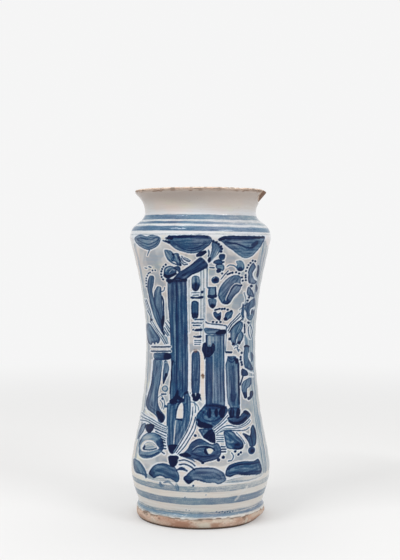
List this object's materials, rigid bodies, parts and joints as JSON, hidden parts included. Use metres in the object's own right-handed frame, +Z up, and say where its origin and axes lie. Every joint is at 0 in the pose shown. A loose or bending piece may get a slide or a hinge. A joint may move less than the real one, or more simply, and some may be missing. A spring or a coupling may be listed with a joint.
{
  "type": "albarello jar",
  "caption": "Tall waisted apothecary jar in tin-glazed earthenware, with a flared lip, sloping shoulder and turned foot, painted in cobalt blue, open at the top.",
  "frame": {"origin": "middle of the standing face under the foot ring", "axes": "+Z up along the jar's turning axis, -Y towards the viewer of the picture, +X to the viewer's right, where the lip is chipped"},
  "size_m": [0.1214, 0.1214, 0.28],
  "materials": {
    "bare_clay": "matt buff earthenware, porous, worn and a little dirty at the foot and lip",
    "painted_glaze": "glossy cream white tin glaze painted with cobalt blue ornament",
    "plain_glaze": "glossy plain cream white tin glaze"
  },
  "bodies": {
    "root": {"clay_body": "bare_clay", "outer_glaze": "painted_glaze", "inner_glaze": "plain_glaze"}
  },
  "joints": []
}
